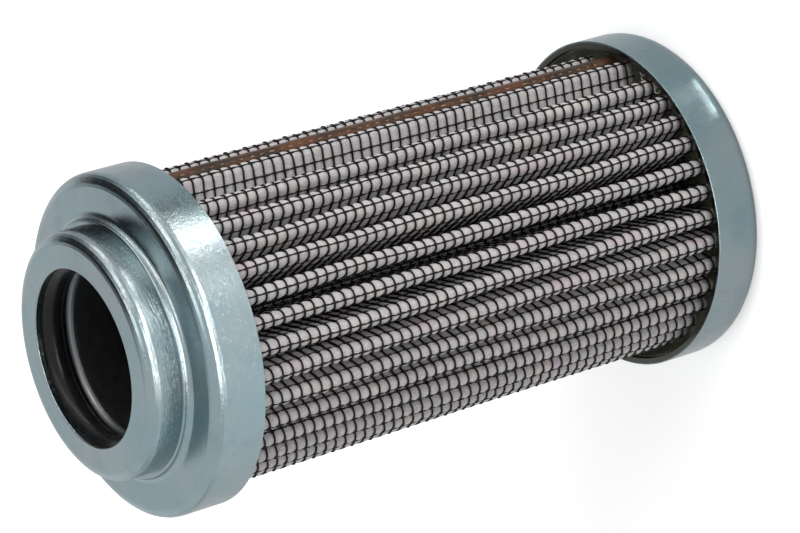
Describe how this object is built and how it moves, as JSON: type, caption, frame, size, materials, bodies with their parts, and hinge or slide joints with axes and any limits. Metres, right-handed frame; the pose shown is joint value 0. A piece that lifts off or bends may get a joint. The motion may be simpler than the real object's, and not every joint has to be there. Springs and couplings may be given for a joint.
{
  "type": "pleated hydraulic filter element",
  "caption": "Pleated wire-mesh hydraulic filter element with stamped end caps and an O-ring sealed neck at its open end.",
  "frame": {"origin": "centre of the closed end cap's outer face, on the element's axis", "axes": "+Z along the element's axis towards the open end; +X towards the side seam"},
  "size_m": [0.0474, 0.0474, 0.0964],
  "materials": {
    "zinc_steel": "zinc-plated stamped steel, satin",
    "dark_steel": "dark drawn steel, smooth",
    "seal_rubber": "black nitrile rubber, slightly glossy",
    "coated_wire": "black epoxy-coated steel wire",
    "white_fleece": "white spunbonded fleece",
    "glass_medium": "glass fibre filter medium",
    "amber_adhesive": "cured brown adhesive, glossy",
    "grey_adhesive": "cured grey-green adhesive, slightly glossy"
  },
  "bodies": {
    "root": {"open_end_cap": "zinc_steel", "closed_end_cap": "zinc_steel", "seal_retainer": "dark_steel", "o_ring": "seal_rubber", "core_tube": "dark_steel", "outer_mesh_cross_wires": "coated_wire", "outer_mesh_long_wires": "coated_wire", "outer_fleece": "white_fleece", "coarse_medium": "glass_medium", "fine_medium": "glass_medium", "inner_fleece": "white_fleece", "inner_mesh_long_wires": "coated_wire", "inner_mesh_cross_wires": "coated_wire", "side_seam_adhesive": "amber_adhesive", "open_end_adhesive": "grey_adhesive", "closed_end_adhesive": "grey_adhesive"}
  },
  "joints": []
}
